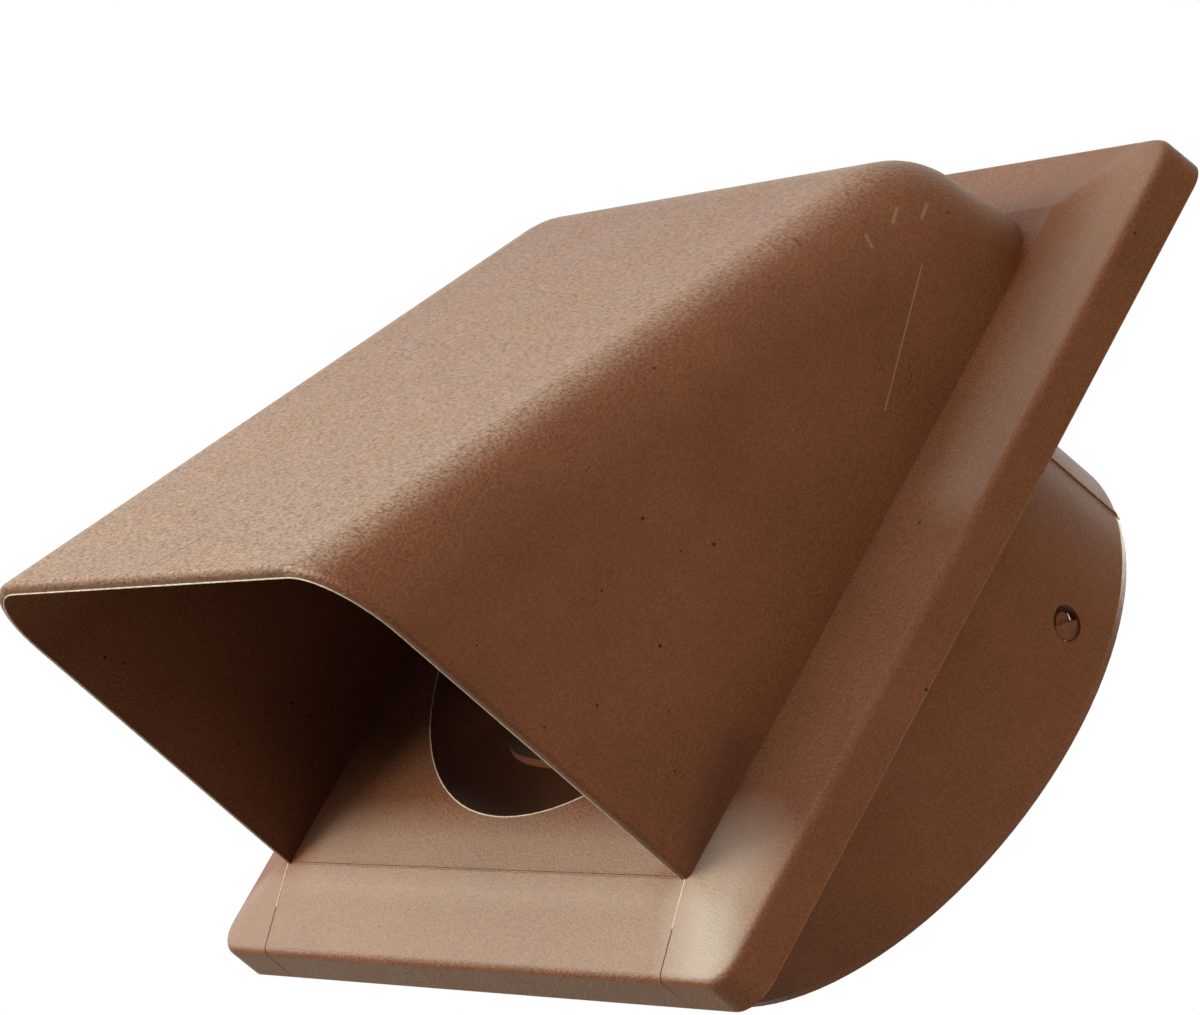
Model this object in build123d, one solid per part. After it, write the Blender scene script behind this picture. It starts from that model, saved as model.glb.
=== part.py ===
from build123d import *
from math import radians, tan
import os

os.makedirs("parts", exist_ok=True)

# Frame and units
# X is right seen from the front, Y runs back into the wall, Z is up. Sizes are in mm.
# The origin is on the spigot's axis, in the plane of the wall.

# Flange: a square tray with a bevelled border, open at the back
flange_size = 140.0
flange_skirt = 6.5        # depth of the outer wall, from the wall plane to the front edge
flange_draft = 0.3        # the outer wall leans in this much over its depth
flange_corner_r = 5.0
flange_edge_r = 1.6       # soft front edge
flange_wall = 2.2
crest_size = 111.8        # flat square inside the border
crest_corner_r = 1.0
crest_rise = 3.9          # how far the flat square stands in front of the front edge

# Hood: a drafted shell that stands on the flat square and opens downwards
hood_foot_width = 111.0   # over the side walls, at the flange
hood_side_draft = 0.0235  # each side wall leans in by this for each mm of reach
hood_top = 55.4           # height of the roof where it meets the flange
hood_roof_slope = 6.8     # degrees, falling to the front
hood_roof_reach = 20.1    # from the flange to the shoulder
hood_front_lean = 24.4    # degrees, front panel from the vertical
hood_side_r = 13.5        # rounding between the side walls and the roof and front
hood_shoulder_r = 14.0    # rounding between the roof and the front
hood_wall = 1.6
mouth_back = -56.2        # height of the mouth at the flange
mouth_rise = 3.5          # degrees, the mouth rises to the front
mouth_edge_r = 1.0        # soft outer edge of the mouth

# Spigot: the round tail that goes into a 100 mm duct
spigot_d = 99.3
spigot_length = 37.8      # behind the wall plane
lead_in_length = 1.4      # slight taper at the rear end
lead_in_depth = 0.4
spigot_wall = 2.45        # at the flange, the narrow end of the bore
bore_draft = 0.7          # degrees, the bore widens to the rear

# Damper flap: a disc that hangs on two stubs in the spigot's side holes
pivot_back = 28.3         # behind the wall plane
pivot_up = 11.3           # above the spigot's axis
pivot_hole_d = 5.3
pivot_clearance = 0.2     # radial, stub in hole
flap_clearance = 1.0      # radial, closed disc in the bore
flap_drop = 0.3           # the disc's middle below the spigot's axis
flap_front = 4.0          # from the pivot axis to the disc's front face
flap_rim = 1.2            # thickness of the disc at its rim
flap_rim_width = 3.0
flap_web = 0.9            # thickness of the disc inside the rim
flap_side_trim = 2.6      # a flat on each side of the disc takes this off, so that it can swing
barrel_d = 6.4
barrel_clearance = 0.6    # from the barrel's end to the bore
stub_flush = 0.15         # the stub's end stays this far inside the spigot's outside
stub_core_d = 3.2
stub_core_depth = 0.7     # the core's end below the stub's end
stub_cut_depth = 1.6      # the cut half below the stub's end
stub_flat_turn = 10.0     # degrees, the stub's flat from the disc
flap_open = 33.2          # degrees, the flap stands this far open at rest

# Stops for the closed flap, at the top of the bore
stop_width = 2.4
stop_height = 3.0
stop_spread = 30.0        # degrees, each stop from the top
stop_gap = 0.3            # from the stops to the closed disc

# Derived places
crest = flange_skirt + crest_rise
disc_front = pivot_back - flap_front
disc_back = disc_front + flap_rim
stub_r = pivot_hole_d / 2 - pivot_clearance
blank = flange_size       # the hood's blanks run this far, and the mouth cut trims them
pivot_axis = Axis((0, pivot_back, pivot_up), (-1, 0, 0))


def bore_r(place):
    """Radius of the tapered bore at a place along the spigot's axis."""
    return spigot_d / 2 - spigot_wall + (place + crest) * tan(radians(bore_draft))


flap_r = bore_r(disc_front) - flap_clearance


def facing(front):
    """The plane seen from the front, this far in front of the wall."""
    return Plane.XZ.offset(front)


def turned(*outline):
    """A solid turned about the spigot's axis from (radius, place) points."""
    return revolve(make_face(Polyline(*outline, close=True)), Axis.Y)


def along_y(radius, start, end):
    """A cylinder on the spigot's axis between two places."""
    return turned((0, start), (radius, start), (radius, end), (0, end))


def along_pivot(radius, half_length):
    """A cylinder on the pivot's axis, the same length each way."""
    return extrude(Plane.YZ * Pos(pivot_back, pivot_up) * Circle(radius), half_length, both=True)


def tray(inset):
    """The flange as a solid block, or its hollow when it is inset by the wall."""
    size = flange_size - 2 * inset
    edge = size - 2 * flange_draft
    corner = flange_corner_r - inset
    skirt = flange_skirt - inset
    base = facing(0) * RectangleRounded(size, size, corner)
    ridge = facing(skirt) * RectangleRounded(edge, edge, corner - flange_draft)
    flat = facing(skirt + crest_rise) * RectangleRounded(crest_size, crest_size, crest_corner_r)
    return loft([base, ridge], ruled=True) + loft([ridge, flat], ruled=True)


def hood_block(inset, foot):
    """The hood as a solid block, or its hollow when it is inset by the wall."""
    roof = tan(radians(hood_roof_slope))
    lean = tan(radians(hood_front_lean))
    shoulder = (-crest - hood_roof_reach, hood_top - hood_roof_reach * roof)
    low = (shoulder[0] - blank * lean, shoulder[1] - blank)
    back = (blank, hood_top + (blank + crest) * roof)
    side_view = make_face(Polyline(shoulder, low, (blank, low[1]), back, close=True))
    side_view = offset(side_view, -inset, kind=Kind.INTERSECTION)
    prism = extrude(Plane.YZ * side_view, flange_size, both=True)

    half = hood_foot_width / 2 - inset + (crest - foot) * hood_side_draft
    near = facing(foot) * Rectangle(2 * half, 4 * blank)
    far = facing(foot + blank) * Rectangle(2 * (half - blank * hood_side_draft), 4 * blank)
    block = loft([near, far], ruled=True) & prism

    ridge = block.edges().filter_by(Axis.X).sort_by(Axis.Z)[-2:].sort_by(Axis.Y)[0]
    block = fillet(ridge, hood_shoulder_r - inset)
    sides = block.faces().sort_by(Axis.X)
    outline = [e for side in (sides[0], sides[-1]) for e in side.edges()]
    rounded = [e for e in outline if e.center().Y < -foot - 0.01 and e.center().Z > low[1] + 1]
    return fillet(rounded, hood_side_r - inset)


# Cowl: flange, hood and spigot are one moulding
flange_block = tray(0)
front_edge = flange_block.edges().filter_by_position(Axis.Y, -flange_skirt - 0.01, -flange_skirt + 0.01)
flange = fillet(front_edge, flange_edge_r) - tray(flange_wall)

hood = hood_block(0, crest - flange_wall / 2) - hood_block(hood_wall, crest)
mouth = Plane((0, -crest, mouth_back)).rotated((-mouth_rise, 0, 0))
hood = split(hood, bisect_by=mouth, keep=Keep.TOP)
rim = hood.faces().sort_by(Axis.Z)[0]
outer_edge = [e for e in rim.outer_wire().edges() if e.center().Y < -crest]
hood = fillet(outer_edge, mouth_edge_r)

spigot_r = spigot_d / 2
spigot_start = -crest + flange_wall / 2
taper_start = spigot_length - lead_in_length
end_r = spigot_r - lead_in_depth
spigot = turned((0, spigot_start), (spigot_r, spigot_start), (spigot_r, taper_start),
                (end_r, spigot_length), (0, spigot_length))
bore_start = -crest - flange_wall
bore = turned((0, bore_start), (bore_r(bore_start), bore_start),
              (bore_r(spigot_length), spigot_length), (0, spigot_length))

# The flap's stops run along the bore, as the core that makes it draws out to the rear
stop_end = disc_front - stop_gap
stop_length = stop_end + crest
stop_bar = Pos(0, stop_end - stop_length / 2, bore_r(stop_end)) * Box(stop_width, stop_length, 2 * stop_height)
stop_bar &= along_y((spigot_r + bore_r(stop_end)) / 2, -crest, stop_end)
stops = [Rot(0, turn, 0) * stop_bar for turn in (-stop_spread, stop_spread)]

cowl = flange + hood + spigot - bore + stops
cowl -= along_pivot(pivot_hole_d / 2, spigot_d)

# Damper flap, drawn closed and then turned open to its place at rest
disc = along_y(flap_r, disc_front, disc_back)
disc -= along_y(flap_r - flap_rim_width, disc_front + flap_web, disc_back)
disc = Pos(0, 0, -flap_drop) * disc & Box(2 * (flap_r - flap_side_trim), 2 * disc_back, spigot_d)
barrel_top = pivot_up + barrel_d / 2
barrel_reach = (bore_r(pivot_back) ** 2 - barrel_top**2) ** 0.5 - barrel_clearance
barrel = along_pivot(barrel_d / 2, barrel_reach)

stub_end_r = spigot_r - stub_flush
stub = along_pivot(stub_r, spigot_d) & along_y(stub_end_r, 0, spigot_length)
core = along_pivot(stub_core_d / 2, spigot_d) & along_y(stub_end_r - stub_core_depth, 0, spigot_length)
half = Pos(0, -pivot_hole_d, 0) * Box(2 * spigot_d, 2 * pivot_hole_d, 2 * pivot_hole_d)
half = Pos(0, pivot_back, pivot_up) * Rot(-stub_flat_turn, 0, 0) * half
half -= along_y(stub_end_r - stub_cut_depth, 0, spigot_length)
stub = stub - half + core

damper_flap = (disc + barrel + stub).rotate(pivot_axis, flap_open)

for name, node in {"cowl": cowl, "damper_flap": damper_flap}.items():
    node.label = name
    export_step(node, f"parts/{name}.step")
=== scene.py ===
# %% [markdown]
# # A hooded wall vent
#
# The vent is two plastic mouldings. The cowl is a square flange with a sloping hood in front and a
# round spigot behind, and the damper flap swings inside the spigot. The CAD model already has both
# shapes, so this lesson adds what a CAD model leaves out: the satin grain of the plastic, its marks,
# some of them painted shade and painted light, a painted sheen on the hood's front panel, the thin flash
# and the seams that the mould leaves, and light.

# %% Load the imported model as the fixed frame
import math

import bmesh
import bpy
from mathutils import Matrix, Vector


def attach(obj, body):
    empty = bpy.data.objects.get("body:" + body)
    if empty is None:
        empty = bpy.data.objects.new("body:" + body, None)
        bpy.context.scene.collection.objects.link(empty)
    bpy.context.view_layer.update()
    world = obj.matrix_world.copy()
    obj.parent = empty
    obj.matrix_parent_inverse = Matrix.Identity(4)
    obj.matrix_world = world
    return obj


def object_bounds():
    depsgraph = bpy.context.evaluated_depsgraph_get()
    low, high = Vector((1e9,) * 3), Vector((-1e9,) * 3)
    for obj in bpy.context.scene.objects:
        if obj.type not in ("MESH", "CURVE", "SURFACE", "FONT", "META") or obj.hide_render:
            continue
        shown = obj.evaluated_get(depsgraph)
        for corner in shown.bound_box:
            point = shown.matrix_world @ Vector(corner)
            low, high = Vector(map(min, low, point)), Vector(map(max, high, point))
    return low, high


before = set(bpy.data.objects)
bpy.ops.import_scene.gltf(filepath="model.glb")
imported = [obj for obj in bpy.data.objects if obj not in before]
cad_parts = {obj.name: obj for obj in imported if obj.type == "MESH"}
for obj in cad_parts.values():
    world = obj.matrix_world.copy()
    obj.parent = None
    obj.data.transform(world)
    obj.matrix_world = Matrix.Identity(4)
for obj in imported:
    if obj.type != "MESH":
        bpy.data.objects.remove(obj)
cad_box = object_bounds()
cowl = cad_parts["cowl"]
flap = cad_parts["damper_flap"]
print("cad box", cad_box)

# %% [markdown]
# ## Grain of the plastic
#
# Satin mouldings get their look from a fine texture in the mould, a little finer than a sand grain.
# It could be an image, but noise in Object coordinates never stretches and has no seams. The cowl and
# the flap share the grain, so it is a node group: it puts out a mottled colour, a roughness and a
# height, and each material places it with its own colours.

# %% Helpers for node trees
def new_group(name, inputs, outputs):
    group = bpy.data.node_groups.new(name, "ShaderNodeTree")
    for label, kind, default in inputs:
        socket = group.interface.new_socket(label, in_out="INPUT", socket_type=kind)
        socket.default_value = default
    for label, kind in outputs:
        group.interface.new_socket(label, in_out="OUTPUT", socket_type=kind)
    return group, group.nodes.new("NodeGroupInput"), group.nodes.new("NodeGroupOutput")


def place(tree, kind, **values):
    node = tree.nodes.new(kind)
    for name, value in values.items():
        if name in node.inputs:
            node.inputs[name].default_value = value
        else:
            setattr(node, name, value)
    return node


def math_node(tree, operation, a, b, clamp=False):
    node = place(tree, "ShaderNodeMath", operation=operation, use_clamp=clamp)
    for socket, value in zip(node.inputs, (a, b)):
        if isinstance(value, (int, float)):
            socket.default_value = value
        else:
            tree.links.new(value, socket)
    return node.outputs[0]


def linear(tree, value, gain, base):
    """A value times a gain, plus a base."""
    return math_node(tree, "ADD", math_node(tree, "MULTIPLY", value, gain), base)


def mix_colour(tree, factor, a, b):
    node = place(tree, "ShaderNodeMix", data_type="RGBA")
    for socket, value in ((node.inputs[0], factor), (node.inputs[6], a), (node.inputs[7], b)):
        if isinstance(value, bpy.types.NodeSocket):
            tree.links.new(value, socket)
        else:
            socket.default_value = value
    return node.outputs[2]


def noise(tree, vector, scale, detail, roughness=0.5):
    node = place(tree, "ShaderNodeTexNoise", Scale=scale, Detail=detail, Roughness=roughness)
    tree.links.new(vector, node.inputs["Vector"])
    return node.outputs["Fac"]


def ramp(tree, value, low, high):
    """0 at low, 1 at high, and held at both ends."""
    node = place(tree, "ShaderNodeMapRange")
    node.inputs["From Min"].default_value = low
    node.inputs["From Max"].default_value = high
    tree.links.new(value, node.inputs["Value"])
    return node.outputs["Result"]


def split_axes(tree, vector):
    node = place(tree, "ShaderNodeSeparateXYZ")
    tree.links.new(vector, node.inputs[0])
    return node.outputs


# %% [markdown]
# On the hood the grain is drawn out sideways, and on the flange much less. The sides of the hood and
# the spigot are calmer than the front, so the contrast falls there. The noise is turned before it is
# read, because a flat wall that lies along the noise's own lattice would show a pattern of squares.

# %% The grain group
FLANGE_FRONT = -0.0106  # Y just in front of the flange's flat square
HOOD_DRAW, FLANGE_DRAW = 0.40, 0.85  # how far X is squeezed, which draws the grain out
GRAIN_TURN = (0.6, 0.9, 0.4)
FINE_SCALE, MOTTLE_SCALE, CLOUD_SCALE = 2600, 60, 9
FINE_LOW, FINE_HIGH = 0.34, 0.66  # the stretch of the fine noise that is spread over 0 to 1
SIDE_START, SIDE_FULL = 0.044, 0.054  # the rounding to the hood's side, from the middle
CONTRAST, CALM_CONTRAST = 0.72, 0.32
MEAN_TONE, PATCH_TONE, DRIFT_TONE = 0.28, 0.12, 0.07
PATCH_RANGE, BROAD_RANGE = (0.35, 0.7), (0.3, 0.7)
ROUGHNESS, ROUGHNESS_SPREAD = 0.38, 0.08

grain, grain_in, grain_out = new_group(
    "moulded grain",
    [("Vector", "NodeSocketVector", (0, 0, 0)),
     ("Dark", "NodeSocketColor", (0.1, 0.05, 0.03, 1)),
     ("Light", "NodeSocketColor", (0.2, 0.1, 0.06, 1))],
    [("Colour", "NodeSocketColor"), ("Roughness", "NodeSocketFloat"), ("Height", "NodeSocketFloat")])
where = grain_in.outputs["Vector"]
axes = split_axes(grain, where)
on_flange = math_node(grain, "GREATER_THAN", axes["Y"], FLANGE_FRONT)
squeeze = linear(grain, on_flange, FLANGE_DRAW - HOOD_DRAW, HOOD_DRAW)
drawn = place(grain, "ShaderNodeCombineXYZ")
grain.links.new(math_node(grain, "MULTIPLY", axes["X"], squeeze), drawn.inputs["X"])
grain.links.new(axes["Y"], drawn.inputs["Y"])
grain.links.new(axes["Z"], drawn.inputs["Z"])
turned = place(grain, "ShaderNodeVectorRotate", rotation_type="EULER_XYZ", Rotation=GRAIN_TURN)
grain.links.new(drawn.outputs[0], turned.inputs["Vector"])
fine = noise(grain, turned.outputs[0], FINE_SCALE, detail=2, roughness=0.6)
mottle = noise(grain, where, MOTTLE_SCALE, detail=4, roughness=0.6)
cloud = noise(grain, where, CLOUD_SCALE, detail=2)
beside = ramp(grain, math_node(grain, "ABSOLUTE", axes["X"], 0), SIDE_START, SIDE_FULL)
calm = math_node(grain, "MAXIMUM", beside, math_node(grain, "GREATER_THAN", axes["Y"], 0))
contrast = linear(grain, calm, CALM_CONTRAST - CONTRAST, CONTRAST)
speckle = math_node(grain, "SUBTRACT", ramp(grain, fine, FINE_LOW, FINE_HIGH), 0.5)
speckle = linear(grain, speckle, contrast, MEAN_TONE)
patches = math_node(grain, "MULTIPLY", ramp(grain, mottle, *PATCH_RANGE), PATCH_TONE)
drift = math_node(grain, "MULTIPLY", ramp(grain, cloud, *BROAD_RANGE), DRIFT_TONE)
tone = math_node(grain, "ADD", math_node(grain, "ADD", speckle, patches), drift)
colour = mix_colour(grain, tone, grain_in.outputs["Dark"], grain_in.outputs["Light"])
gloss = linear(grain, ramp(grain, mottle, *BROAD_RANGE), ROUGHNESS_SPREAD, ROUGHNESS)
grain.links.new(colour, grain_out.inputs["Colour"])
grain.links.new(gloss, grain_out.inputs["Roughness"])
grain.links.new(fine, grain_out.inputs["Height"])
print("grain group", len(grain.nodes), "nodes")

# %% [markdown]
# ## Specks
#
# A plastic part that has been handled carries a few dark specks. They are rare, so they come from a
# cell pattern: a cell that is picked by its own random colour gets one small spot near its middle,
# and the others stay empty.

# %% The specks group
specks, specks_in, specks_out = new_group(
    "specks",
    [("Vector", "NodeSocketVector", (0, 0, 0)), ("Cells", "NodeSocketFloat", 90.0),
     ("Share", "NodeSocketFloat", 0.1), ("Size", "NodeSocketFloat", 0.05)],
    [("Mask", "NodeSocketFloat")])
cells = place(specks, "ShaderNodeTexVoronoi", feature="F1")
specks.links.new(specks_in.outputs["Vector"], cells.inputs["Vector"])
specks.links.new(specks_in.outputs["Cells"], cells.inputs["Scale"])
pick = place(specks, "ShaderNodeSeparateColor")
specks.links.new(cells.outputs["Color"], pick.inputs["Color"])
picked = math_node(specks, "LESS_THAN", pick.outputs["Red"], specks_in.outputs["Share"])
reach = math_node(specks, "MULTIPLY", specks_in.outputs["Size"], pick.outputs["Green"])
spot = math_node(specks, "LESS_THAN", cells.outputs["Distance"], reach)
specks.links.new(math_node(specks, "MULTIPLY", picked, spot), specks_out.inputs["Mask"])
print("specks group", len(specks.nodes), "nodes")

# %% [markdown]
# ## Marks
#
# Scratches, hairs, smudges, painted shade and painted light are all the same thing at different sizes: a
# straight stroke between two points, with a width and a soft edge. The mark group measures how far a
# point of the surface is from the stroke and turns that into a mask, so one group serves for every mark.

# %% The mark group
mark, mark_in, mark_out = new_group(
    "mark",
    [("Vector", "NodeSocketVector", (0, 0, 0)), ("Start", "NodeSocketVector", (0, 0, 0)),
     ("End", "NodeSocketVector", (0, 0, 0.01)), ("Width", "NodeSocketFloat", 0.0001),
     ("Soft", "NodeSocketFloat", 0.0001), ("Strength", "NodeSocketFloat", 0.5)],
    [("Mask", "NodeSocketFloat")])


def vector_node(operation, a, b, output="Vector"):
    node = place(mark, "ShaderNodeVectorMath", operation=operation)
    mark.links.new(a, node.inputs[0])
    mark.links.new(b, node.inputs[1])
    return node.outputs[output]


away = vector_node("SUBTRACT", mark_in.outputs["Vector"], mark_in.outputs["Start"])
course = vector_node("SUBTRACT", mark_in.outputs["End"], mark_in.outputs["Start"])
along = math_node(mark, "DIVIDE", vector_node("DOT_PRODUCT", away, course, "Value"),
                  vector_node("DOT_PRODUCT", course, course, "Value"), clamp=True)
nearest = place(mark, "ShaderNodeVectorMath", operation="SCALE")
mark.links.new(course, nearest.inputs[0])
mark.links.new(along, nearest.inputs["Scale"])
gap = vector_node("DISTANCE", away, nearest.outputs[0], "Value")
edge = math_node(mark, "ADD", mark_in.outputs["Width"], mark_in.outputs["Soft"])
inside = math_node(mark, "SUBTRACT", edge, gap)
cover = math_node(mark, "DIVIDE", inside, mark_in.outputs["Soft"], clamp=True)
mark.links.new(math_node(mark, "MULTIPLY", cover, mark_in.outputs["Strength"]), mark_out.inputs["Mask"])
print("mark group", len(mark.nodes), "nodes")

# %% [markdown]
# Each mark is placed by its two ends on the surface. The painted light and the flap's painted shade go
# only on faces that look forward, and no mark goes on a face that looks to the rear, so both kinds are
# told apart by colour.

# %% Where the marks are
SCUFF = (0.46, 0.29, 0.20, 1)
DIRT = (0.050, 0.020, 0.012, 1)
# pale paint for painted light and a painted highlight on the flange's border and plate
PAINTED_LIGHT = (0.66, 0.58, 0.53, 1)
SMUDGE = (0.085, 0.030, 0.024, 1)
# painted shade, for the dark edge under the hood's lip
SHADE = (0.090, 0.022, 0.006, 1)
# painted shadow, where the hood's top right corner meets the flange
CORNER_SHADOW = (0.150, 0.032, 0.004, 1)
# painted shade on the flap's lower part
FLAP_SHADE = (0.040, 0.018, 0.014, 1)
# the painted light and the flap's painted shade, which go only on faces that look forward
FRONT_ONLY = (PAINTED_LIGHT, FLAP_SHADE)

# start, end, width, soft edge, strength, colour
cowl_marks = [
    # the long scratch and three scuffs near the shoulder
    ((0.05532, -0.01823, 0.01498), (0.05518, -0.02398, 0.03553), 0.00005, 0.00014, 0.40, SCUFF),
    ((0.05310, -0.03011, 0.03863), (0.05234, -0.03022, 0.04106), 0.00010, 0.00030, 0.32, SCUFF),
    ((0.05404, -0.02693, 0.04158), (0.05346, -0.02699, 0.04403), 0.00010, 0.00030, 0.32, SCUFF),
    ((0.05266, -0.03258, 0.03460), (0.05364, -0.03138, 0.03333), 0.00008, 0.00025, 0.32, SCUFF),
    # a line near the lip, and hairs and pits
    ((-0.00100, -0.07700, -0.04980), (0.00310, -0.07359, -0.04198), 0.00012, 0.00030, 0.75, DIRT),
    ((0.03853, -0.03904, 0.03417), (0.04084, -0.03875, 0.03482), 0.00012, 0.00018, 0.85, DIRT),
    ((0.04772, -0.03955, 0.02947), (0.04923, -0.03898, 0.02852), 0.00006, 0.00016, 0.85, DIRT),
    ((0.00867, -0.04589, 0.01907), (0.01100, -0.04650, 0.01770), 0.00006, 0.00016, 0.80, DIRT),
    ((0.00934, -0.07234, -0.03924), (0.01238, -0.07277, -0.04018), 0.00006, 0.00016, 0.80, DIRT),
    ((-0.00672, -0.07441, -0.04380), (-0.00636, -0.07420, -0.04333), 0.00012, 0.00020, 0.80, DIRT),
    ((0.05531, -0.01836, 0.02233), (0.05534, -0.01715, 0.02168), 0.00003, 0.00010, 0.60, DIRT),
    ((0.05534, -0.01715, 0.02168), (0.05535, -0.01687, 0.02000), 0.00003, 0.00010, 0.60, DIRT),
    ((0.05396, -0.05261, -0.01851), (0.05405, -0.05273, -0.01957), 0.00005, 0.00012, 0.60, DIRT),
    # painted shade under the lip, a smudge near the right tip, and a painted shadow in the hood's top right
    # corner
    ((-0.0430, -0.07700, -0.05210), (0.0400, -0.07700, -0.05210), 0.00070, 0.00050, 0.60, SHADE),
    ((0.05543, -0.01342, -0.03732), (0.05549, -0.01100, -0.05198), 0.00050, 0.00450, 0.50, SMUDGE),
    ((0.05500, -0.01040, 0.04600), (0.05050, -0.01040, 0.05480), 0.00080, 0.00550, 0.70, CORNER_SHADOW),
    # painted light on the lower border, a painted highlight at its right corner, and painted light on the
    # right border and the foot of the plate
    ((-0.0640, -0.01250, -0.06550), (0.06200, -0.01250, -0.06550), 0.00700, 0.00300, 0.21, PAINTED_LIGHT),
    ((0.06050, -0.00880, -0.05300), (0.06350, -0.00760, -0.06600), 0.00200, 0.01000, 0.36, PAINTED_LIGHT),
    ((0.06600, -0.00750, 0.06300), (0.06650, -0.00750, 0.01000), 0.00150, 0.00700, 0.12, PAINTED_LIGHT),
    ((-0.0450, -0.01040, -0.05300), (0.04400, -0.01040, -0.05300), 0.00200, 0.00700, 0.20, PAINTED_LIGHT),
]
flap_marks = [
    # painted shade over the lower part of the flap's front face
    ((-0.0300, -0.00400, -0.03100), (0.03000, -0.00400, -0.03100), 0.00800, 0.01000, 0.95, FLAP_SHADE),
]
print(len(cowl_marks), "marks on the cowl,", len(flap_marks), "on the flap")

# %% [markdown]
# ## Painted sheen on the front panel
#
# The hood's front panel is painted paler. This is a painted sheen that stands for the pale shine of a face
# seen at a slant. A point is on the panel when its distance along the panel's normal is the panel's own, so
# the mask needs no painting. It is strongest at the foot, which is painted lighter than the top, and the
# fine grain breaks it up.

# %% Painted sheen on the front panel
# painted sheen: a paler colour laid on the hood's front panel
PANEL_SHEEN_COLOUR = (0.52, 0.42, 0.33, 1)
FRONT_LEAN = math.radians(24.4)
FRONT_NORMAL = (0, -math.cos(FRONT_LEAN), math.sin(FRONT_LEAN))
FRONT_OFFSET = 0.0497  # the panel's distance from the origin, along its normal
PAINTED_SHEEN_END, PAINTED_SHEEN_FULL = 0.0026, 0.0002  # how far off the panel the painted sheen ends, and where it is full
PANEL_TOP, PANEL_FOOT = 0.05, -0.05
PAINTED_SHEEN_AT_TOP, PAINTED_SHEEN_GAIN = 0.10, 0.17
PAINTED_SHEEN_BREAK_LOW, PAINTED_SHEEN_BREAK_GAIN = 0.15, 1.7


def painted_sheen_mask(tree, coords, grain_height):
    """How much painted sheen a point gets: only on the hood's front panel, most at its foot."""
    reach = place(tree, "ShaderNodeVectorMath", operation="DOT_PRODUCT")
    tree.links.new(coords, reach.inputs[0])
    reach.inputs[1].default_value = FRONT_NORMAL
    off_panel = math_node(tree, "SUBTRACT", reach.outputs["Value"], FRONT_OFFSET)
    off_panel = math_node(tree, "ABSOLUTE", off_panel, 0)
    on_panel = ramp(tree, off_panel, PAINTED_SHEEN_END, PAINTED_SHEEN_FULL)
    height = split_axes(tree, coords)["Z"]
    amount = linear(tree, ramp(tree, height, PANEL_TOP, PANEL_FOOT), PAINTED_SHEEN_GAIN, PAINTED_SHEEN_AT_TOP)
    broken = linear(tree, ramp(tree, grain_height, FINE_LOW, FINE_HIGH), PAINTED_SHEEN_BREAK_GAIN, PAINTED_SHEEN_BREAK_LOW)
    return math_node(tree, "MULTIPLY", math_node(tree, "MULTIPLY", on_panel, amount), broken)


# %% [markdown]
# ## The plastic
#
# One function makes every brown in the scene. It lays the grain first, then the painted sheen, the
# specks and the marks, some of them painted shade and painted light, each mixed over the last. A low
# specular level and a little sheen give the dull, soft shine of a textured moulding.

# %% Marks over a colour
REAR_LIMIT = 0.2  # a face whose normal's Y is past this looks to the rear
FRONT_START, FRONT_FULL = -0.55, -0.92  # from here on a face looks forward


def add_marks(tree, surface, colour_below, marks):
    """Mixes each mark over a colour, on the faces that the mark may lie on."""
    facing = split_axes(tree, surface.outputs["Normal"])["Y"]
    seen_side = math_node(tree, "LESS_THAN", facing, REAR_LIMIT)
    front_side = ramp(tree, facing, FRONT_START, FRONT_FULL)
    marked = colour_below
    for start, end, width, soft, strength, mark_colour in marks:
        stroke = place(tree, "ShaderNodeGroup", node_tree=mark)
        for label, value in (("Start", start), ("End", end), ("Width", width), ("Soft", soft),
                             ("Strength", strength)):
            stroke.inputs[label].default_value = value
        tree.links.new(surface.outputs["Object"], stroke.inputs["Vector"])
        allowed = front_side if mark_colour in FRONT_ONLY else seen_side
        mask = math_node(tree, "MULTIPLY", stroke.outputs["Mask"], allowed)
        marked = mix_colour(tree, mask, marked, mark_colour)
    return marked


# %% The satin brown plastic
SPECK = (0.035, 0.018, 0.012, 1)
SPECK_CELLS, SPECK_SHARE, SPECK_SIZE = 260, 0.55, 0.08
SPECULAR_LEVEL = 0.22
SHEEN_ROUGHNESS = 0.45
SHEEN_TINT = (1.0, 1.0, 0.80, 1)
BUMP_STRENGTH, BUMP_DISTANCE = 0.6, 0.0003


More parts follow.
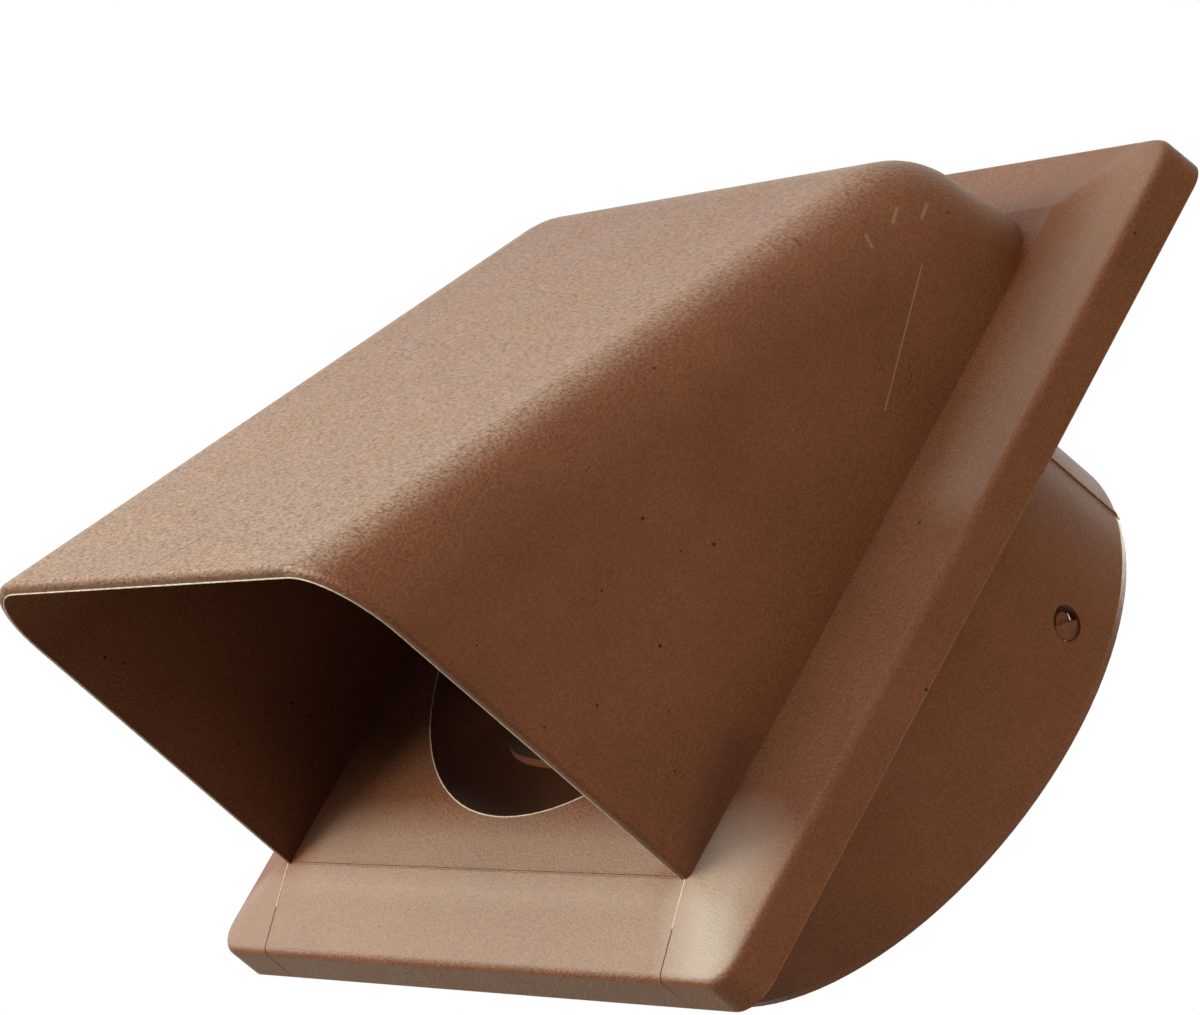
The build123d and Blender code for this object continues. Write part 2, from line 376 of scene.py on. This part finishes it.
def satin_brown(name, dark, light, marks=(), sheen=0.10, with_painted_sheen=False):
    material = bpy.data.materials.new(name)
    material.use_nodes = True
    tree = material.node_tree
    shader = tree.nodes["Principled BSDF"]
    shader.inputs["Specular IOR Level"].default_value = SPECULAR_LEVEL
    shader.inputs["Sheen Weight"].default_value = sheen
    shader.inputs["Sheen Roughness"].default_value = SHEEN_ROUGHNESS
    shader.inputs["Sheen Tint"].default_value = SHEEN_TINT
    surface = place(tree, "ShaderNodeTexCoord")
    coords = surface.outputs["Object"]
    skin = place(tree, "ShaderNodeGroup", node_tree=grain)
    skin.inputs["Dark"].default_value = dark
    skin.inputs["Light"].default_value = light
    tree.links.new(coords, skin.inputs["Vector"])
    body_colour = skin.outputs["Colour"]
    # painted sheen on the hood's front panel, stronger towards its foot
    if with_painted_sheen:
        body_colour = mix_colour(tree, painted_sheen_mask(tree, coords, skin.outputs["Height"]), body_colour, PANEL_SHEEN_COLOUR)
    dirt = place(tree, "ShaderNodeGroup", node_tree=specks)
    dirt.inputs["Cells"].default_value = SPECK_CELLS
    dirt.inputs["Share"].default_value = SPECK_SHARE
    dirt.inputs["Size"].default_value = SPECK_SIZE
    tree.links.new(coords, dirt.inputs["Vector"])
    body_colour = mix_colour(tree, dirt.outputs["Mask"], body_colour, SPECK)
    if marks:
        body_colour = add_marks(tree, surface, body_colour, marks)
    tree.links.new(body_colour, shader.inputs["Base Color"])
    tree.links.new(skin.outputs["Roughness"], shader.inputs["Roughness"])
    bump = place(tree, "ShaderNodeBump", Strength=BUMP_STRENGTH, Distance=BUMP_DISTANCE)
    tree.links.new(skin.outputs["Height"], bump.inputs["Height"])
    tree.links.new(bump.outputs["Normal"], shader.inputs["Normal"])
    return material


# the cowl gets the painted sheen on its front panel
cowl_plastic = satin_brown("cowl plastic", (0.112, 0.036, 0.0160, 1), (0.335, 0.119, 0.056, 1),
                           cowl_marks, with_painted_sheen=True)
flap_plastic = satin_brown("flap plastic", (0.112, 0.037, 0.0175, 1), (0.320, 0.116, 0.058, 1),
                           flap_marks, sheen=0.05)
for node, material in ((cowl, cowl_plastic), (flap, flap_plastic)):
    node.data.materials.clear()
    node.data.materials.append(material)
    print(node.name, len(node.data.polygons), "faces")

# %% [markdown]
# ## Flash along the mouth
#
# Where the core that makes the hood's inside met the outer mould, a paper-thin fin of plastic was left
# along the inner edge of the mouth. Its near-white colour is partly the flash's own and partly a painted
# highlight where the edge catches the light. Cutting a copy of the cowl with the mouth's own plane gives
# the exact edge line. Extruding that line a fraction of a millimetre makes the fin.

# %% Helpers for thin pieces
JOIN_WITHIN = 1e-6
CUT_WITHIN = 1e-7


def cut_line(point, normal, keep):
    """The edges that a plane cuts from the cowl, where keep(middle) is true."""
    shape = bmesh.new()
    shape.from_mesh(cowl.data)
    bmesh.ops.remove_doubles(shape, verts=shape.verts, dist=JOIN_WITHIN)
    parts = shape.verts[:] + shape.edges[:] + shape.faces[:]
    cut = bmesh.ops.bisect_plane(shape, geom=parts, dist=CUT_WITHIN, plane_co=point, plane_no=normal)
    wanted = {e for e in cut["geom_cut"] if isinstance(e, bmesh.types.BMEdge)
              and keep((e.verts[0].co + e.verts[1].co) / 2)}
    bmesh.ops.delete(shape, geom=[e for e in shape.edges if e not in wanted], context="EDGES")
    return shape


def runs(shape):
    """The separate runs of joined edges, longest first."""
    left, found = set(shape.verts), []
    while left:
        stack, run = [left.pop()], set()
        while stack:
            vert = stack.pop()
            run.add(vert)
            for edge in vert.link_edges:
                other = edge.other_vert(vert)
                if other in left:
                    left.discard(other)
                    stack.append(other)
        found.append(run)
    return sorted(found, key=len, reverse=True)


def fin(shape, push, thickness):
    """Extrudes a line by a small push and gives the strip a thickness."""
    strip = bmesh.ops.extrude_edge_only(shape, edges=shape.edges[:])["geom"]
    bmesh.ops.translate(shape, verts=[v for v in strip if isinstance(v, bmesh.types.BMVert)], vec=push)
    bmesh.ops.recalc_face_normals(shape, faces=shape.faces)
    bmesh.ops.solidify(shape, geom=shape.faces[:], thickness=thickness)
    return shape


def finish_piece(shape, name, material):
    """Makes a bmesh into an object that rides on the cowl."""
    mesh = bpy.data.meshes.new(name)
    shape.to_mesh(mesh)
    shape.free()
    piece = bpy.data.objects.new(name, mesh)
    bpy.context.collection.objects.link(piece)
    mesh.materials.append(material)
    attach(piece, "cowl")
    print(name, len(mesh.polygons), "faces")
    return piece


# %% Cut the mouth and keep its inner line
CREST = -0.0104  # Y of the flange's flat square
MOUTH_BACK = -0.0562  # Z of the mouth at that square
MOUTH_RISE = math.radians(3.5)
MOUTH_FLASH_HEIGHT, MOUTH_FLASH_THICKNESS = 0.00019, 0.00012
mouth_normal = Vector((0, math.sin(MOUTH_RISE), math.cos(MOUTH_RISE)))
mouth_point = Vector((0, CREST, MOUTH_BACK)) + mouth_normal * 0.00004  # just inside the rim
# near white: the flash's own pale colour, and partly a painted highlight on the edge
flash_and_highlight = satin_brown("flash with painted highlight", (0.55, 0.42, 0.32, 1), (0.98, 0.88, 0.78, 1))
rim = cut_line(mouth_point, mouth_normal, lambda p: p.y < CREST - 0.0002)
found = runs(rim)
print("mouth lines", [(len(run), round(max(abs(v.co.x) for v in run), 4)) for run in found])

# %% Raise the fin
inner_run = min(found, key=lambda run: max(abs(v.co.x) for v in run))
bmesh.ops.delete(rim, geom=[v for v in rim.verts if v not in inner_run], context="VERTS")
finish_piece(fin(rim, -mouth_normal * MOUTH_FLASH_HEIGHT, MOUTH_FLASH_THICKNESS), "mouth_flash", flash_and_highlight)

# %% [markdown]
# ## Seams over the border
#
# The part of the mould that slid out of the hood's mouth also shaped the lower border, so a fine seam
# runs down from each of the hood's tips, over the border and its edge, to the wall, and a third one
# crosses the foot of the plate. Each is the line that a plane cuts from the flange, raised by a hair.
# Near the tips the seam is pale with flash, and further down it is a dark line.

# %% Seams down from the tips
seam_plastic = satin_brown("seam plastic", (0.045, 0.016, 0.008, 1), (0.150, 0.058, 0.030, 1))
SEAM_X = 0.0546
SEAM_TOP = -0.0563  # Z just below the hood's tips
PALE_END = -0.0628  # Z where the pale part ends
PLATE_EDGE = 0.0559  # half the flat square
BORDER_SLOPE = 3.9 / 14.1  # rise over width of the bevelled border
BORDER_SKIN = 0.0009  # what is this close to the border's outside is on it
SKIRT_FROM = -0.0692  # Z below which all is skirt
SLACK = 0.0001
SEAM_PUSH, SEAM_THICKNESS = Vector((0, -0.00005, -0.00003)), 0.00016


def on_lower_border(p):
    """True on the flange's outside, below the hood's tips."""
    border = CREST + (-p.z - PLATE_EDGE) * BORDER_SLOPE
    outside = p.y < border + BORDER_SKIN or p.z < SKIRT_FROM
    return p.z < SEAM_TOP and CREST - SLACK < p.y < SLACK and outside


for side, side_name in ((1, "seam_right"), (-1, "seam_left")):
    for ending, seam_material, drop_side in (("", seam_plastic, 1), ("_pale", flash_and_highlight, -1)):
        line = cut_line(Vector((side * SEAM_X, 0, 0)), Vector((1, 0, 0)), on_lower_border)
        bmesh.ops.bisect_plane(line, geom=line.verts[:] + line.edges[:], dist=CUT_WITHIN,
                               plane_co=(0, 0, PALE_END), plane_no=(0, 0, drop_side), clear_outer=True)
        fin(line, SEAM_PUSH, SEAM_THICKNESS)
        for vert in line.verts:
            vert.co.z = max(vert.co.z, cad_box[0][2])
        finish_piece(line, side_name + ending, seam_material)

# %% Seam across the foot of the plate
CROSS_SEAM_Z = -0.05592
CROSS_SEAM_HALF = 0.0537  # it ends inside the hood's walls
CROSS_SEAM_DEPTH = 0.0004  # what is this close to the plate's face is on it
line = cut_line(Vector((0, 0, CROSS_SEAM_Z)), Vector((0, 0, 1)),
                lambda p: abs(p.y - CREST) < CROSS_SEAM_DEPTH and abs(p.x) < CROSS_SEAM_HALF)
finish_piece(fin(line, Vector((0, -0.00004, 0)), 0.00010), "seam_cross", seam_plastic)

# %% [markdown]
# ## Bright edges
#
# The bore's front edge and the flange's rear edge catch the light too, because a mould's sharp corners
# leave a fine burr there. Their paler colours are partly a painted highlight on those edges. Both lines
# are cut from the cowl in the same way, a hair inside its faces.

# %% Edge of the bore and rear edge of the flange
BORE_FROM, BORE_TO = 0.0465, 0.0479  # radii that hold the bore's edge
line = cut_line(Vector((0, CREST + 0.00003, 0)), Vector((0, 1, 0)),
                lambda p: BORE_FROM < math.hypot(p.x, p.z) < BORE_TO)
finish_piece(fin(line, Vector((0, -0.00010, 0)), 0.00018), "bore_flash", flash_and_highlight)

# a lighter brown: the burr, and partly a painted highlight on the flange's rear edge
burr_and_highlight = satin_brown("burr with painted highlight", (0.18, 0.075, 0.040, 1), (0.42, 0.200, 0.115, 1))
FLANGE_OUTSIDE = 0.0690  # only the outer wall is further out than this
REAR_TOP = 0.066  # the top edge shows no burr
line = cut_line(Vector((0, -0.00003, 0)), Vector((0, 1, 0)),
                lambda p: max(abs(p.x), abs(p.z)) > FLANGE_OUTSIDE and p.z < REAR_TOP)
finish_piece(fin(line, Vector((0, -0.00012, 0)), 0.00014), "rear_flash", burr_and_highlight)

# %% [markdown]
# ## Lines along the spigot
#
# The two halves of the spigot's mould met along two lines, opposite each other. A plane through the
# axis cuts them, and each is raised to a low rib in the cowl's own plastic.

# %% Two lines along the spigot
SPIGOT_OUTSIDE = 0.0485  # only the spigot's outside is further out than this
BEHIND_WALL = 0.0003  # Y from which the lines show behind the flange
RIB_HEIGHT, RIB_THICKNESS = 0.0002, 0.0006
for turn, line_name in ((42, "spigot_line_upper"), (222, "spigot_line_lower")):
    angle = math.radians(turn)
    outward = Vector((math.sin(angle), 0, math.cos(angle)))
    across = Vector((math.cos(angle), 0, -math.sin(angle)))
    line = cut_line(Vector((0, 0, 0)), across,
                    lambda p: p.y > BEHIND_WALL and p.dot(outward) > SPIGOT_OUTSIDE)
    finish_piece(fin(line, outward * RIB_HEIGHT, RIB_THICKNESS), line_name, cowl_plastic)

# %% [markdown]
# ## Camera
#
# The photograph looks up at the vent from the right and below, with the picture rolled. The camera's
# place and its three axes were solved from the flange's corners and the spigot, so they are written as
# they came out, in metres.

# %% Camera
SENSOR_MM, FOCAL_MM = 36, 147.06
CAMERA_PLACE = (0.60011, -0.32205, -0.24074)
right = Vector((0.53823, 0.70442, 0.46272))
up = Vector((0.04203, -0.57078, 0.82003))
back = Vector((0.84175, -0.42191, -0.33681))
lens = bpy.data.cameras.new("photo view")
lens.sensor_width = SENSOR_MM
lens.lens = FOCAL_MM
lens.clip_start = 0.01
camera = bpy.data.objects.new("photo view", lens)
bpy.context.collection.objects.link(camera)
turned_to = Matrix((right, up, back)).transposed().to_4x4()
camera.matrix_world = Matrix.Translation(CAMERA_PLACE) @ turned_to
bpy.context.scene.camera = camera
print("camera", FOCAL_MM, "mm")

# %% [markdown]
# ## Stage
#
# The backdrop is white to the camera and in reflections, through the world's Light Path, while the
# world lights the object only faintly. A pale floor far below bounces a little light up. Two black
# cards, which the camera can't see, take the white backdrop out of the reflections on the roundings
# and the border, as a photographer does with a black flag.

# %% World
WORLD_LIGHT, WORLD_SEEN = 0.05, 1.0
world = bpy.data.worlds.new("studio")
bpy.context.scene.world = world
world.use_nodes = True
tree = world.node_tree
tree.nodes.clear()
path = place(tree, "ShaderNodeLightPath")
seen = math_node(tree, "MAXIMUM", path.outputs["Is Camera Ray"], path.outputs["Is Glossy Ray"])
seen = math_node(tree, "MAXIMUM", seen, path.outputs["Is Transmission Ray"])
plain = place(tree, "ShaderNodeBackground", Color=(1, 1, 1, 1), Strength=WORLD_LIGHT)
white = place(tree, "ShaderNodeBackground", Color=(1, 1, 1, 1), Strength=WORLD_SEEN)
mix = place(tree, "ShaderNodeMixShader")
out = place(tree, "ShaderNodeOutputWorld")
tree.links.new(seen, mix.inputs[0])
tree.links.new(plain.outputs[0], mix.inputs[1])
tree.links.new(white.outputs[0], mix.inputs[2])
tree.links.new(mix.outputs[0], out.inputs["Surface"])
print("world", len(tree.nodes), "nodes")


# %% Floor and black cards
def flat_material(name, grey, roughness):
    material = bpy.data.materials.new(name)
    material.use_nodes = True
    shader = material.node_tree.nodes["Principled BSDF"]
    shader.inputs["Base Color"].default_value = (grey, grey, grey, 1)
    shader.inputs["Roughness"].default_value = roughness
    return material


def sheet(name, half_size, stands_at, material):
    """A square sheet of the stage, flat until it is turned."""
    shape = bmesh.new()
    bmesh.ops.create_grid(shape, x_segments=1, y_segments=1, size=half_size)
    mesh = bpy.data.meshes.new(name)
    shape.to_mesh(mesh)
    shape.free()
    mesh.materials.append(material)
    made = bpy.data.objects.new(name, mesh)
    bpy.context.collection.objects.link(made)
    made.location = stands_at
    return made


FLOOR_HALF, FLOOR_Z, FLOOR_GREY = 8, -1.60, 0.75
sheet("floor", FLOOR_HALF, (0, 0, FLOOR_Z), flat_material("pale floor", FLOOR_GREY, 0.9))
black = flat_material("black card", 0.02, 1.0)
for card_name, stands_at, half_size in (("card right", (0.50, 0.36, 0.51), 0.85),
                                        ("card above", (0.54, -0.60, 0.89), 0.45)):
    card = sheet(card_name, half_size, stands_at, black)
    card.rotation_euler = Vector(stands_at).to_track_quat("Z", "Y").to_euler()
    card.visible_camera = False
print("floor and two cards")

# %% [markdown]
# ## Light
#
# The main light comes from the lower left in front, so the hood's front, the border's lower part and
# the plate are pale, while the side towards the camera stays dark. A second lamp in front fills the
# flange, one at the side gives the dark wall its tone, and two small ones reach the spigot. The side
# lamp and the spigot's two are left out of reflections, so that they don't grey the plastic. A large,
# weak lamp at the left softens the shadows, and the last one stands behind, for views from the rear.

# %% Lamps
LAMP_COLOUR = (0.98, 1.0, 0.84)


def soft_lamp(name, place_at, aim, size, watts, glossy=True):
    data = bpy.data.lights.new(name, "AREA")
    data.shape = "DISK"
    data.size = size
    data.energy = watts
    data.color = LAMP_COLOUR
    lamp = bpy.data.objects.new(name, data)
    bpy.context.collection.objects.link(lamp)
    lamp.location = place_at
    lamp.rotation_euler = (Vector(aim) - Vector(place_at)).to_track_quat("-Z", "Y").to_euler()
    lamp.visible_glossy = glossy
    print(name, watts, "W")


soft_lamp("low key", (-0.40, -0.66, -0.25), (0, -0.04, -0.01), 0.43, 6.9)
soft_lamp("left", (-1.15, -0.50, 0.50), (0, -0.04, 0), 1.2, 0.4)
soft_lamp("front", (0.0, -1.22, -0.10), (0, -0.03, 0), 0.6, 7.2)
soft_lamp("side", (0.78, -0.42, 0.38), (0.04, 0, 0), 0.7, 3.6, glossy=False)
soft_lamp("spigot top", (0.12, 0.15, 0.45), (0.03, 0.02, 0.03), 0.25, 0.7, glossy=False)
soft_lamp("spigot low", (0.28, 0.16, -0.14), (0.03, 0.02, -0.02), 0.3, 0.40, glossy=False)
soft_lamp("rear", (-0.75, 1.05, 0.75), (0, 0, 0), 0.5, 12)

# %% [markdown]
# ## View transform
#
# The picture is shown with the Standard view, so colours come out as they are written.

# %% View transform
bpy.context.scene.view_settings.view_transform = "Standard"
